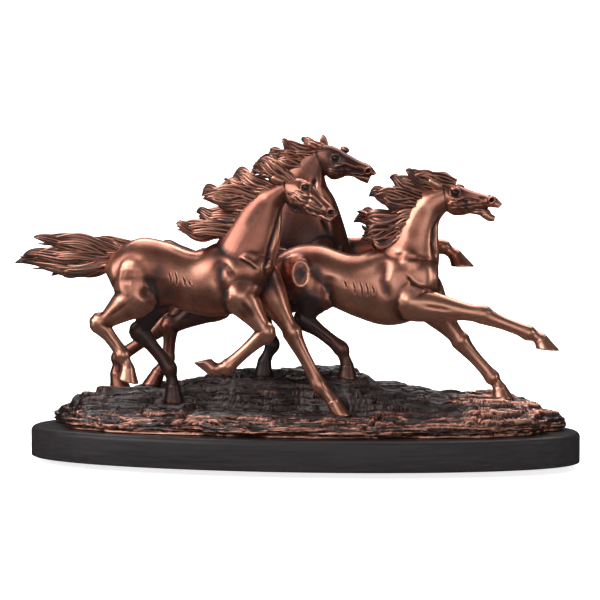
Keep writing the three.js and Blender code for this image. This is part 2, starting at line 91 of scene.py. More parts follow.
# Every point below is (x, z) in the horse's own depth plane.
# A leg runs from hip or shoulder through its joints to the coronet, and ends with the hoof's toe and heel.
# A lock of hair is its root, middle and tip, with its half width.
# A fold is a line, its depth and its half width. A stain is x, z, radius and how much darker it is: most are
# stains of patina; some are painted shade, such as under the near horse's jaw and in its chest; those below
# nothing are painted highlights on its barrel and thigh.
# The patina_and_painted_light of a leg is how much darker it is: its patina, and painted shade on the legs
# behind the others. Less than nothing is brighter: a painted highlight on the near legs.
NEAR_HORSE = dict(
    depth=-38,
    back=[(-137, 141), (-130, 151), (-112, 160.5), (-92, 158), (-72, 151.5), (-56, 157.5), (-38, 158),
          (-24, 154), (-17, 147)],
    belly=[(-134, 132), (-126, 118), (-110, 112), (-90, 112), (-74, 107), (-56, 105), (-38, 110),
           (-24, 124), (-17, 138)],
    crest=[(-57, 157), (-47, 172), (-37, 185), (-25, 195), (-9, 202)],
    throat=[(-17, 139), (-12, 156), (-10.5, 170), (-9.5, 181), (-6, 189)],
    brow=[(-10, 202), (3, 203), (12, 198.5), (19, 190.5), (26, 184.5), (31, 178.5)],
    jaw=[(-8, 188), (-3, 180), (5, 178.3), (13, 177.4), (20, 176), (27, 174)],
    chin=([(4, 188), (15, 181), (21, 178), (27, 175)], [(0, 181), (10, 177), (18, 174.6), (25.5, 172)]),
    head_turn=[-39, -41, -44, -46, -48, -50],
    ears=[((-8, 200), (-17, 204), -5), ((-9, 200), (-17, 205), 4)],
    near_hind=[(-113, 137), (-112, 119), (-139, 100), (-122.5, 78), (-119, 68.5), (-111, 57), (-127, 61)],
    far_hind=[(-108, 137), (-103, 118), (-114, 93), (-92.5, 67), (-90, 54), (-82, 42), (-97, 42)],
    near_fore=[(-34, 140), (-39, 121), (-20.5, 94.5), (-47.5, 70), (-58, 68.5), (-72, 73), (-59, 76)],
    far_fore=[(-32, 142), (-22, 124), (-4.5, 93), (15.5, 56), (25, 44.5), (38.5, 34.5), (24, 34.5)],
    mane=[((-44, 166), (-64, 167), (-85, 168), 7.5), ((-38, 177), (-56, 177), (-72, 177), 6.5),
          ((-34, 187), (-52, 191), (-67, 190.5), 8), ((-22, 196), (-34, 202), (-46, 204.5), 7),
          ((-8, 202), (-17, 210), (-29, 214.5), 7.5), ((-28, 191), (-42, 196), (-56, 198), 6)],
    tail=[((-128, 148), (-152, 157.5), (-188, 158), 7), ((-128, 147), (-162, 149), (-197, 145.5), 7),
          ((-128, 145), (-162, 141), (-204, 142), 7), ((-130, 142), (-155, 137), (-178, 134), 5)],
    eye=(8.0, 196.6), nostril=(26, 179.5), cheek=(2, 190), lips=[(17, 179), (24, 176.6), (28.5, 175.5)],
    groove=[(-7.4, 190.6), (-12.3, 172.4), (-18, 152.8), (-20.1, 140.2), (-20.1, 128)],
    ribs=[((-88, 137.3), (-86.5, 128)), ((-83.5, 137.5), (-82.6, 127)), ((-78, 134), (-76.5, 127.5)),
          ((-74, 131), (-72.8, 127.5))],
    folds=[([(-39.2, 147.3), (-32.2, 143.9), (-25.1, 139)], 1.1, 0.9),
           ([(-50.5, 144.5), (-45.6, 138.9), (-41.4, 131.9)], 0.7, 2.2)],
    stains_and_painted_light=[(-71, 141, 15, -0.26), (-122, 122, 8, -0.1), (-96.6, 135, 5, 0.45), (-101.6, 119.6, 5, 0.35),
            (-88.8, 123.2, 6, 0.5), (-94.4, 140, 5, 0.3), (-56, 150, 7, 0.35), (-53, 138, 6, 0.3),
            (-33, 110, 5, 0.5), (-1, 181, 5, 0.9), (-18, 128, 8, 0.5), (-31, 176, 14, 0.1),
            (25, 181, 7, 0.26), (14, 198, 5, 0.2)],
    patina_and_painted_light=dict(far_hind=0.64, near_hind=-0.1, near_fore=-0.1, far_fore=-0.08),
)
LEAD_HORSE = dict(
    depth=0,
    back=[(-27, 134), (-20, 146), (-2, 154.5), (14, 154.5), (36, 148), (56, 152.5), (74, 156), (90, 152),
          (98, 142)],
    belly=[(-24, 126), (-14, 115), (0, 112), (18, 111), (38, 103), (58, 97), (76, 99), (90, 108),
           (98, 122)],
    crest=[(57, 153), (66, 163), (75, 179.5), (86, 192.5), (101, 198)],
    throat=[(98, 134), (99, 148), (98, 161), (99, 172), (104, 179)],
    brow=[(100, 197.5), (112, 197.5), (122, 194), (131, 191.5), (138, 190), (144, 184.5)],
    jaw=[(102, 181), (108, 176.5), (117, 176.5), (126, 180), (132, 182), (141, 181.5)],
    chin=([(112, 184), (124, 183.5), (131, 182.4), (134.8, 180.2), (136.2, 177.4), (138.8, 176.4)],
          [(110, 178), (121, 177.2), (127, 176.4), (130.5, 173.8), (134, 172.2), (138.2, 171.8)]),
    head_turn=[-1, -2, -3, -4, -5, -6],
    ears=[((100, 196), (91, 202), -4), ((100, 197), (91, 203), 4)],
    near_hind=[(-3, 136), (10, 119), (2.5, 101), (29.5, 80.5), (33.5, 68), (41, 58), (26, 60)],
    far_hind=[(-6, 136), (-8, 119), (-32, 107), (-23, 81), (-29, 69), (-37, 58), (-23, 58)],
    near_fore=[(78, 138), (80, 114), (130, 105.5), (163, 93.5), (171.5, 88.5), (185.5, 80.5), (168, 82)],
    far_fore=[(80, 138), (92, 112), (113.5, 85), (137.5, 59), (142, 51.5), (153.5, 43.5), (137, 44)],
    mane=[((104, 198), (90, 202.5), (74, 205.5), 7), ((92, 193), (76, 197.5), (62, 201.5), 6.5),
          ((82, 185), (64, 189.5), (48, 189.5), 7.5), ((74, 174), (54, 171), (37, 173.5), 9.5),
          ((66, 163), (54, 159), (44, 162), 9.5), ((93, 198), (100, 203), (105.5, 199), 3.4)],
    tail=[((-18, 146), (-48, 148), (-78, 146), 7), ((-20, 142), (-44, 140), (-68, 138), 6)],
    far_brow=(113.5, 196.2), eye=(110.5, 192.7), nostril=(136.4, 187.4), cheek=(110.5, 184.5),
    lips=[(131.7, 180.8), (139, 181)],
    groove=[(100.5, 178), (95.4, 165.9), (94.8, 155.3), (96.9, 143.1)],
    ribs=[((31.9, 129.6), (33.3, 124.6)), ((38.3, 128.9), (39.7, 119.6)), ((43.3, 129), (44.8, 118.3)),
          ((47.6, 128.3), (49, 118.3)), ((52, 126), (53.2, 119.5))],
    folds=[([(60, 150.3), (71.6, 147.2), (85.8, 145.5), (94, 143)], 0.6, 2.4),
           ([(75.9, 134), (80.2, 128.3), (85.2, 125.5), (93, 124.8)], 1.1, 1.1)],
    stains_and_painted_light=[(0.8, 135, 4.5, 0.34), (13, 140.2, 5, 0.24), (13.5, 131, 4, 0.2), (11, 116, 6, 0.08),
            (118, 188, 12, 0.38), (60, 126, 6, 0.12), (80, 148, 9, 0.08), (82, 162, 7, 0.1)],
    patina_and_painted_light=dict(near_hind=0.84, far_hind=0.84, near_fore=-0.06, far_fore=0.0),
)
FAR_HORSE = dict(
    depth=38,
    back=[(-125, 138), (-119, 149), (-106, 156.5), (-94, 152), (-77, 147.5), (-50, 154), (-22, 161),
          (6, 160), (26, 156)],
    belly=[(-121, 128), (-110, 117), (-95, 113), (-78, 113), (-58, 108), (-36, 106), (-14, 109), (8, 122),
           (26, 142)],
    crest=[(-40, 158), (-32, 178), (-23, 200), (-12, 215), (4, 226)],
    throat=[(31, 154), (25.5, 172), (20, 187), (14.5, 196), (12, 204)],
    brow=[(2, 226.5), (17, 226.5), (28, 221), (38, 215.5), (46, 212), (51, 206)],
    jaw=[(10, 207), (18, 201), (27, 203), (36, 206), (42, 206), (49, 204)],
    chin=([(22, 209), (34, 207.6), (41, 206.6), (47, 204.2)],
          [(22, 203), (33, 203.4), (38.5, 200.4), (44.5, 198.2)]),
    head_turn=[38, 37, 36, 35, 34, 33],
    ears=[((8, 223), (0, 228.5), -4.5), ((12, 221), (10.5, 234.5), 3.5)],
    near_hind=[(-90, 134), (-66, 112), (-102, 92.5), (-104, 68), (-111, 58), (-124, 49), (-109, 48)],
    far_hind=[(-96, 134), (-84, 113), (-109, 92), (-145, 67), (-147, 55), (-136, 44), (-152, 44)],
    near_fore=[(8, 146), (-2, 128), (28, 117), (8, 107), (1, 106), (-10, 109), (-2, 113)],
    far_fore=[(2, 150), (18, 144), (62, 156), (99, 152), (108, 145.5), (123, 137), (105.3, 137)],
    mane=[((4, 222), (-8, 223), (-20, 229), 6), ((9, 225), (1, 229), (-6, 230), 3.5),
          ((-4, 214), (-16, 218), (-30, 218), 7), ((-14, 203), (-28, 207), (-44, 206), 7),
          ((-22, 190), (-36, 193), (-52, 190), 7)],
    tail=[((-116, 148), (-138, 152.5), (-161, 155), 5.5), ((-116, 144), (-138, 146), (-160, 144), 6)],
    far_brow=(27, 223.4), eye=(21.1, 216.9), nostril=(45, 207.6), cheek=(20, 209),
    lips=[(35.5, 204.9), (47, 203.2)],
    groove=[(6, 203), (5, 196), (7, 186), (11, 175), (16, 163)],
    ribs=[], folds=[],
    stains_and_painted_light=[(28, 214, 14, 0.22), (16, 226, 5, 0.1)],
    patina_and_painted_light=dict(near_hind=0.2, far_hind=0.0, near_fore=0.3, far_fore=-0.06),
)


def rise(low, high, value):
    """A smooth step from 0 at low to 1 at high."""
    t = np.clip((value - low) / (high - low), 0, 1)
    return t * t * (3 - 2 * t)


def fall(low, high, value):
    return 1 - rise(low, high, value)


def unit(vector):
    return vector / np.linalg.norm(vector)


def units(rows):
    return rows / np.linalg.norm(rows, axis=1, keepdims=True)


def turned(run):
    """Directions turned a quarter round in the XZ plane."""
    return np.stack([-run[..., 2], 0 * run[..., 0], run[..., 0]], -1)


def round_angles(count, start=0):
    return (np.arange(count) + start) / count * 2 * math.pi


def spline(points, count):
    """Points on a smooth line through the given ones, evenly spread over their number."""
    points = np.asarray(points, float)
    last = len(points) - 1
    t = np.linspace(0, last, count)
    i = np.minimum(t.astype(int), last - 1)
    f = (t - i)[:, None] if points.ndim > 1 else t - i
    p0, p1 = points[np.maximum(i - 1, 0)], points[i]
    p2, p3 = points[i + 1], points[np.minimum(i + 2, last)]
    start, end = (p2 - p0) / 2, (p3 - p1) / 2
    cubic = 2 * p1 - 2 * p2 + start + end
    square = 3 * p2 - 3 * p1 - 2 * start - end
    return cubic * f**3 + square * f**2 + start * f + p1


# Large odd numbers that set neighbouring cells apart
SCATTER = (374761393, 668265263, 2147483647, 1274126177)


def lattice_value(cells, seed):
    """A fixed value between 0 and 1 for each whole-number cell."""
    x, y, z = np.moveaxis(cells, -1, 0)
    h = x * SCATTER[0] + y * SCATTER[1] + z * SCATTER[2] + seed * SCATTER[3]
    h = (h ^ (h >> 13)) * SCATTER[3] & 0xFFFFFFFF
    return ((h ^ (h >> 16)) & 0xFFFF) / 65535


def noise(x, y, z, seed):
    """Smooth noise between -1 and 1."""
    points = np.stack(np.broadcast_arrays(x, y, z), -1)
    base = np.floor(points).astype(np.int64)
    f = points - base
    f = f * f * (3 - 2 * f)
    total = 0
    for dx in (0, 1):
        for dy in (0, 1):
            for dz in (0, 1):
                corner = lattice_value(base + (dx, dy, dz), seed)
                wx = f[..., 0] if dx else 1 - f[..., 0]
                wy = f[..., 1] if dy else 1 - f[..., 1]
                wz = f[..., 2] if dz else 1 - f[..., 2]
                total = total + corner * wx * wy * wz
    return total * 2 - 1


def rough_noise(x, y, z, seed):
    """Noise with finer noise of half the height on it."""
    return noise(x, y, z, seed) + noise(x * 2, y * 2, z * 2, seed + 1) / 2


def closed_loft(rings):
    """A closed form through rings of points, with a point at either end: (vertices, faces)."""
    rings = np.asarray(rings, float)
    count, sides = rings.shape[:2]
    points = np.concatenate([rings.reshape(-1, 3), rings[:1].mean(1), rings[-1:].mean(1)])
    ring, side = np.meshgrid(np.arange(count - 1), np.arange(sides), indexing="ij")
    a = ring * sides + side
    b = ring * sides + (side + 1) % sides
    quads = np.stack([a, b, b + sides, a + sides], -1).reshape(-1, 4)
    first, start = count * sides, (count - 1) * sides
    faces = quads.tolist()
    faces += [(first, (i + 1) % sides, i) for i in range(sides)]
    faces += [(first + 1, start + i, start + (i + 1) % sides) for i in range(sides)]
    if enclosed(points, faces) < 0:
        faces = [face[::-1] for face in faces]
    return points, faces


def enclosed(points, faces):
    """Six times the enclosed volume, negative when the faces point inwards."""
    tris = [(face[0], face[k], face[k + 1]) for face in faces for k in range(1, len(face) - 1)]
    a, b, c = (points[np.array(tris)[:, k]] for k in range(3))
    return float(np.einsum("ij,ij->", a, np.cross(b, c)))


def joined(forms):
    points, faces, start = [], [], 0
    for form_points, form_faces in forms:
        points.append(form_points)
        faces += [[i + start for i in face] for face in form_faces]
        start += len(form_points)
    return np.concatenate(points), faces


def ovals(centres, halves, widths, sides, lift=0.0):
    """Rings round the centres, from half height vectors in the XZ plane and half widths across it."""
    angle = round_angles(sides, 0.5)
    c, s = np.cos(angle), np.sin(angle)
    rings = centres[:, None, :] + halves[:, None, :] * c[None, :, None]
    rings[..., 1] += widths[:, None] * s[None, :] * (1 - lift * c[None, :])
    return rings


def flat_to_space(pairs, depth):
    pairs = np.asarray(pairs, float)
    return np.stack([pairs[:, 0], np.broadcast_to(depth, len(pairs)).astype(float), pairs[:, 1]], -1)


def body_between(upper, lower, widths, depths, sides, steps, lift=0.0):
    """A form between an upper and a lower line that run the same way."""
    top, bottom = spline(upper, steps), spline(lower, steps)
    middle, half = (top + bottom) / 2, (top - bottom) / 2
    centres = flat_to_space(middle, spline(depths, steps))
    return closed_loft(ovals(centres, flat_to_space(half, 0), spline(widths, steps), sides, lift))


def rooted(line):
    """A line lengthened backwards from its first point, so that what it outlines grows out of the body."""
    (x0, z0), (x1, z1) = line[:2]
    return [(x0 + (x0 - x1) * NECK_ROOT, z0 + (z0 - z1) * NECK_ROOT), *line]


def ball(centre, radii, turn=0.0, sides=20, steps=12):
    """An ellipsoid, its first radius turned up from +X by so many degrees."""
    along = np.linspace(-math.pi / 2 * 0.96, math.pi / 2 * 0.96, steps)
    angle = round_angles(sides)
    c, s = math.cos(math.radians(turn)), math.sin(math.radians(turn))
    u = np.sin(along)[:, None] * radii[0] + 0 * angle
    v = np.cos(along)[:, None] * radii[1] * np.cos(angle)
    w = np.cos(along)[:, None] * radii[2] * np.sin(angle)
    x, y, z = centre
    return closed_loft(np.stack([x + u * c - v * s, y + w, z + u * s + v * c], -1))


def leg_forms(path, girth, depth, side):
    """One leg, a loft through every bone, and its hoof."""
    joints = flat_to_space(path[:-2], depth + side * LEG_SPREAD)
    joints[0, 1] = depth + side * HIP_SPREAD
    stations = []
    for bone, start, end in zip(girth, joints, joints[1:]):
        run = unit(end - start)
        stations += [(*(start + (end - start) * share + turned(run) * shift), deep, wide)
                     for share, deep, wide, shift in bone]
    stations = np.array(stations)
    fine = spline(stations, len(stations) * 5)
    centres = fine[:, :3]
    run = np.gradient(centres, axis=0)
    run[:, 1] = 0
    run = units(run)
    halves = turned(run) * fine[:, 3:4]
    leg = closed_loft(ovals(centres, halves, fine[:, 4], 24))
    return [leg, hoof(path[-3:], depth + side * LEG_SPREAD, stations[-1, 3:])]


def hoof(points, depth, size):
    """A hoof widens from the coronet to its sole, which runs from toe to heel."""
    coronet, toe, heel = (np.array([x, depth, z], float) for x, z in points)
    middle, sole = (toe + heel) / 2, (toe - heel) / 2
    run = unit(middle - coronet)
    front = turned(run) * size[0]
    if front @ sole < 0:
        front = -front
    across = np.linalg.norm(sole) * 2 * SOLE_WIDTH
    shares = np.array([-0.12, 0.0, 0.08, 0.3, 0.6, 0.9, 1.0])
    swell = np.array([0.94, 1.06, 1.02, 1.0, 1.0, 1.0, 0.96])
    centres = coronet + shares[:, None] * (middle - coronet)
    t = np.clip(shares, 0, 1)[:, None]
    halves = (front * (1 - t) + sole * t) * swell[:, None]
    widths = (size[1] * (1 - t[:, 0]) + across * t[:, 0]) * swell
    return closed_loft(ovals(centres, halves, widths, 24))


def ear(row, depth):
    """A cupped leaf, hollow towards the side it faces."""
    base, tip, side = row
    start = np.array([base[0], depth + side * 0.8, base[1]])
    end = np.array([tip[0], depth + side, tip[1]])
    run = unit(end - start)
    up = turned(run)
    outward = np.array([0, math.copysign(1, side), 0])
    angle = round_angles(16)
    cup = np.where(np.sin(angle) > 0, -0.15, 1.0) * np.sin(angle)
    rings = []
    for share in np.linspace(0, 1, 10):
        size = 3.4 * math.sin(math.pi * (0.2 + 0.78 * share)) ** 0.4 + 0.15
        ring = np.cos(angle)[:, None] * up * size + cup[:, None] * -outward * size * 0.8
        rings.append(start + (end - start) * share + ring)
    return closed_loft(rings)


def between(a, b, share):
    return [a[0] + (b[0] - a[0]) * share, a[1] + (b[1] - a[1]) * share]


def span(a, b, low, high):
    """The part of the line from a to b between two shares of it."""
    return [between(a, b, low), between(a, b, high)]


def body_muscles(horse):
    """Ovals along the bones, each with its share of the bone, its radii and how far out it lies."""
    forms = []
    for side, hind, fore in SIDES:
        hip, stifle, hock = horse[hind][:3]
        shoulder, elbow, knee = horse[fore][:3]
        for a, b, share, radii, out in (
            (hip, stifle, 0.3, (19, 17, 9.5), 8.6),
            (hip, stifle, 0.95, (10, 9, 7.5), 10),
            (stifle, hock, 0.3, (15, 8, 7), 10),
            (shoulder, elbow, 0.1, (19, 14, 8), 7.6),
            (shoulder, elbow, 0.85, (11, 9.5, 7), 10.4),
            (elbow, knee, 0.28, (15, 7.6, 6.8), 10),
        ):
            x, z = between(a, b, share)
            turn = math.degrees(math.atan2(b[1] - a[1], b[0] - a[0]))
            forms.append(ball((x, horse["depth"] + side * out, z), radii, turn))
    return forms


def head_forms(horse):
    """Skull, chin, cheek, muzzle, brows and ears."""
    turn = horse["head_turn"]
    x, z = horse["cheek"]
    ex, ez = horse["eye"]
    nx, nz = horse["nostril"]
    middle = turn[1]
    forms = [
        body_between(horse["brow"], horse["jaw"], HEAD_WIDTHS, turn, 28, 44),
        body_between(*horse["chin"], CHIN_WIDTHS, turn[2:], 20, 24),
        ball((x, middle, z), (8, 7.6, 7.5)),
        ball((nx - 0.5, turn[-1], nz), (4.0, 3.3, 4.6)),
    ]
    forms += [ball((ex + 0.3, middle + side * 4.4, ez + 1.2), (4.6, 2.8, 2.6), -25) for side in (-1, 1)]
    if "far_brow" in horse:
        bx, bz = horse["far_brow"]
        forms.append(ball((bx, middle + 3.8, bz), (3.6, 2.6, 2.3), -25))
    forms += [ear(row, turn[0]) for row in horse["ears"]]
    return forms


def horse_forms(horse):
    depth = horse["depth"]
    level = [depth, depth]
    turn = horse["head_turn"]
    neck_turn = [depth, depth, depth, depth, (depth + turn[0]) / 2, turn[0]]
    forms = [
        body_between(horse["back"], horse["belly"], TRUNK_WIDTHS, level, 48, 70, lift=0.06),
        body_between(rooted(horse["crest"]), rooted(horse["throat"]), NECK_WIDTHS, neck_turn, 36, 44),
        *head_forms(horse), *body_muscles(horse),
    ]
    for side, hind, fore in SIDES:
        forms += leg_forms(horse[hind], HIND_GIRTH, depth, side)
        forms += leg_forms(horse[fore], FORE_GIRTH, depth, side)
    return forms


def placed(name, data):
    """An object in the scene for a mesh, light or camera."""
    obj = bpy.data.objects.new(name, data)
    bpy.context.scene.collection.objects.link(obj)
    return obj


def temporary(points, faces):
    mesh = bpy.data.meshes.new("clay")
    mesh.from_pydata(np.asarray(points).tolist(), [], faces)
    return placed("clay", mesh)


def removed(obj):
    mesh = obj.data
    bpy.data.objects.remove(obj)
    bpy.data.meshes.remove(mesh)


def read_mesh(mesh):
    """Vertices and triangles of a mesh as arrays."""
    mesh.calc_loop_triangles()
    points = np.zeros(len(mesh.vertices) * 3)
    mesh.vertices.foreach_get("co", points)
    tris = np.zeros(len(mesh.loop_triangles) * 3, np.int32)
    mesh.loop_triangles.foreach_get("vertices", tris)
    return points.reshape(-1, 3), tris.reshape(-1, 3)


def modified(obj):
    """A new mesh, as the object's modifiers make it."""
    graph = bpy.context.evaluated_depsgraph_get()
    return bpy.data.meshes.new_from_object(obj.evaluated_get(graph))


def evaluated(obj):
    """Points and triangles as the object's modifiers make them; the object goes."""
    mesh = modified(obj)
    removed(obj)
    points, tris = read_mesh(mesh)
    bpy.data.meshes.remove(mesh)
    return points, tris


def fused(forms, voxel):
    """One skin round all the forms."""
    obj = temporary(*joined(forms))
    remesh = obj.modifiers.new("skin", "REMESH")
    remesh.mode = "VOXEL"
    remesh.voxel_size = voxel
    return evaluated(obj)


def edges_of(tris):
    pairs = np.sort(np.concatenate([tris[:, [0, 1]], tris[:, [1, 2]], tris[:, [2, 0]]]), 1)
    return np.unique(pairs, axis=0)


class Clay:
    """A fused form that is smoothed and carved as arrays."""

    def __init__(self, points, tris):
        self.points, self.tris = points, tris
        self.edges = edges_of(tris)
        self.degree = np.bincount(self.edges.ravel(), minlength=len(points)).clip(1)

    def averaged(self, values):
        a, b = self.edges.T
        count = len(self.points)
        columns = []
        for column in values.reshape(count, -1).T:
            total = np.bincount(a, column[b], count) + np.bincount(b, column[a], count)
            columns.append(total / self.degree)
        return np.stack(columns, -1).reshape(values.shape)

    def smooth(self, rounds, weight):
        """Evens the surface out without thinning it."""
        weight = np.broadcast_to(weight, len(self.points))[:, None]
        for _ in range(rounds):
            for push in (0.6, -0.62):
                self.points = self.points + push * weight * (self.averaged(self.points) - self.points)

    def normals(self):
        a, b, c = (self.points[self.tris[:, k]] for k in range(3))
        face = np.cross(b - a, c - a)
        total = np.zeros(self.points.shape)
        for axis in range(3):
            for corner in self.tris.T:
                total[:, axis] += np.bincount(corner, face[:, axis], len(self.points))
        return total / np.linalg.norm(total, axis=1, keepdims=True).clip(1e-9)

    def push(self, amount):
        self.points = self.points + self.normals() * amount[:, None]

    def press(self, amount, middle, sides):
        """Pushes out what faces sideways, on one side of the middle plane or on both."""
        normals = self.normals()
        for side in sides:
            facing = np.clip(normals[:, 1] * side * 1.6, 0, 1) * (side * (self.points[:, 1] - middle) > 0)
            self.push(amount * facing)

    def hollow(self, rounds):
        """How far each point lies below the surface round it, in millimetres."""
        even = self.points
        for _ in range(rounds):
            even = self.averaged(even)
        return np.einsum("ij,ij->i", even - self.points, self.normals())


def to_line(points, line):
    """Distance in the XZ plane from each point to a line of a few (x, z), and how far along it is nearest."""
    flat = points[:, [0, 2]]
    line = np.asarray(line, float)
    best, share = np.full(len(points), 1e9), np.zeros(len(points))
    for i, (a, b) in enumerate(zip(line, line[1:])):
        t = np.clip((flat - a) @ (b - a) / ((b - a) @ (b - a)), 0, 1)
        away = np.linalg.norm(flat - a - t[:, None] * (b - a), axis=1)
        share = np.where(away < best, (i + t) / (len(line) - 1), share)
        best = np.minimum(best, away)
    return best, share


def stroke(clay, line, depth, width, middle, sides=(-1, 1), taper=0.0):
    """A groove, or a ridge where depth is negative, drawn on the sides of the form and fading at its ends."""
    away, share = to_line(clay.points, line)
    amount = -depth * np.exp(-((away / width) ** 2))
    if taper:
        amount = amount * (0.1 + 0.9 * rise(0, taper, share) * rise(0, taper, 1 - share))
    clay.press(amount, middle, sides)


def dab(clay, centre, radii, turn, height, middle, sides=(-1, 1)):
    """A low swelling, or a hollow where height is negative, on the sides of the form."""
    c, s = math.cos(math.radians(turn)), math.sin(math.radians(turn))
    dx, dz = clay.points[:, 0] - centre[0], clay.points[:, 2] - centre[1]
    away = np.hypot((dx * c + dz * s) / radii[0], (dz * c - dx * s) / radii[1])
    clay.press(height * np.exp(-(away**2)), middle, sides)


def arc(centre, radii, start, end, step, turn=0.0):
    """Points on an oval in the XZ plane from one angle to another, in degrees."""
    c, s = math.cos(turn), math.sin(turn)
    return [(centre[0] + radii[0] * c * math.cos(a) - radii[1] * s * math.sin(a),
             centre[1] + radii[0] * s * math.cos(a) + radii[1] * c * math.sin(a))
            for a in np.radians(np.arange(start, end, step))]


# The near horse's cheek plate: lines fan out from its top to its lower edge
CHEEK_TOP, CHEEK_EDGE, CHEEK_LINES = (-6.5, 196.5), [(-2.5, 185.5), (5, 183.6), (13.5, 190.5)], 8
# The oval mark on the leading horse's thigh
MARK, MARK_RADII = (0.8, 134.8), (6.0, 9.4)
VOXEL = 0.62
HEAD_REACH, FACE_REACH, HEAD_HALF = 12, 9, 12
BODY_ROUNDS, FINE_ROUNDS = 60, 3
# How much of the smoothing reaches the head, and how much is kept off the lower legs
HEAD_SHARE, LEG_SHARE = 0.06, 0.94


def lower_leg(horse, points):
    """How much of each point belongs to a lower leg or hoof, from 0 to 1."""
    depth = horse["depth"]
    best = np.full(len(points), 1e9)
    for side, hind, fore in SIDES:
        for path in (horse[hind], horse[fore]):
            away, _ = to_line(points, path[2:5] + [between(path[5], path[6], 0.5)])
            away = np.hypot(away, 0.7 * (points[:, 1] - depth - side * LEG_SPREAD))
            best = np.minimum(best, away)
    return fall(9, 14, best)


def near_head(horse, points, reach=HEAD_REACH):
    """Which points lie within reach of the head's middle line."""
    away, _ = to_line(points, [between(a, b, 0.5) for a, b in zip(horse["brow"], horse["jaw"])])
    side = np.abs(points[:, 1] - horse["head_turn"][2])
    return (away < reach) & (side < HEAD_HALF)


def refined(clay, chosen):
    """The same form with the chosen region's faces cut four times finer."""
    obj = temporary(clay.points, clay.tris.tolist())
    work = bmesh.new()
    work.from_mesh(obj.data)
    work.verts.ensure_lookup_table()
    edges = [e for e in work.edges if chosen[e.verts[0].index] and chosen[e.verts[1].index]]
    bmesh.ops.subdivide_edges(work, edges=edges, cuts=1, use_grid_fill=True)
    bmesh.ops.triangulate(work, faces=work.faces[:])
    work.to_mesh(obj.data)
    work.free()
    points, tris = read_mesh(obj.data)
    removed(obj)
    return Clay(points, tris)


def carve_head(clay, horse):
    """Sinews on the face, jowl, cheek bone, lips, eye, lids and nostril."""
    eye, nostril, cheek, lips = horse["eye"], horse["nostril"], horse["cheek"], horse["lips"]
    middle = horse["head_turn"][2]
    run = np.array([nostril[0] - eye[0], nostril[1] - eye[1]])
    length = np.linalg.norm(run)
    run /= length
    down = np.array([run[1], -run[0]])
    flat = clay.points[:, [0, 2]] - eye
    u, v = flat @ run, flat @ down
    face = rise(-6, 2, u) * fall(length - 3, length + 2, u) * rise(1.0, 4, v)
    face = face * fall(11, 14, v) * near_head(horse, clay.points, FACE_REACH)
    strands = noise(u / 4.5, (v + 0.25 * u) / 0.95, clay.points[:, 1] / 5, 7)
    clay.push(0.46 * (strands - 0.2) * face)
    bone = [(eye[0] + 1, eye[1] - 4.8), *span(eye, nostril, 0.3, 0.62)]
    stroke(clay, arc(cheek, (8.4, 7.8), -95, 20, 15), 0.55, 1.6, middle)
    stroke(clay, [(x, z - 0.8) for x, z in bone], -0.45, 1.1, middle)
    stroke(clay, [(x, z - 3.0) for x, z in bone], 0.3, 1.1, middle)
    stroke(clay, lips, 1.1, 0.55, middle)
    dab(clay, eye, (4.2, 2.9), -20, -1.6, middle)
    stroke(clay, arc(eye, (3.5, 2.5), -30, 215, 15), -0.38, 0.7, middle)
    flare = math.atan2(run[1], run[0]) + math.radians(55)
    stroke(clay, arc(nostril, (2.7, 1.8), 0, 361, 20, flare), -0.5, 0.7, middle)
    dab(clay, nostril, (1.9, 1.1), math.degrees(flare), -3.0, middle)
    if horse is NEAR_HORSE:
        dab(clay, (-1.5, 181.3), (6.5, 2.2), -12, -1.8, middle)
        for end in spline(CHEEK_EDGE, CHEEK_LINES):
            stroke(clay, span(CHEEK_TOP, end, 0.3, 0.95), 0.32, 0.5, middle, (-1,), 0.2)


def carve_body(clay, horse):
    """Flank, girth, the grooves between the legs' muscles, hip and shoulder, and the groove of the neck."""
    depth = horse["depth"]
    for side, hind, fore in SIDES:
        hip, stifle, hock, fetlock = horse[hind][:4]
        shoulder, elbow, knee = horse[fore][:3]
        flank = [(stifle[0] + x, stifle[1] + z) for x, z in ((13, 16), (11, 7), (4, -2))]
        girth = [(shoulder[0] - x, shoulder[1] + z) for x, z in ((16, 8), (18, -8), (14, -24))]
        for line, deep, wide, taper in (
            (flank, 0.9 if horse is LEAD_HORSE else 1.7, 5.0, 0.3),
            (girth, 1.2, 3.6, 0.3),
            (span(elbow, knee, 0.1, 0.65), 0.5, 1.8, 0.4),
            (span(stifle, hock, 0.15, 0.8), 0.5, 1.8, 0.4),
            (span(hock, fetlock, 0.15, 0.85), 0.35, 1.0, 0.3),
        ):
            stroke(clay, line, deep, wide, depth, (side,), taper)
        dab(clay, (hip[0] + 1, hip[1] + 8), (13, 7), 10, 0.9, depth, (side,))
        dab(clay, between(shoulder, elbow, 0.55), (8, 6), 40, -1.1, depth, (side,))
        dab(clay, between(shoulder, elbow, 0.95), (6, 6), 0, 0.6, depth, (side,))
    groove = horse["groove"]
    stroke(clay, groove, 1.5, 1.6, depth, taper=0.2)
    stroke(clay, [(x + 3.6, z) for x, z in groove], -0.7, 1.9, depth, taper=0.2)
    crest, throat = horse["crest"], horse["throat"]
    upper, lower = between(crest[3], throat[3], 0.38), between(crest[1], throat[1], 0.34)
    stroke(clay, [upper, lower], 0.5, 4.0, depth, taper=0.3)


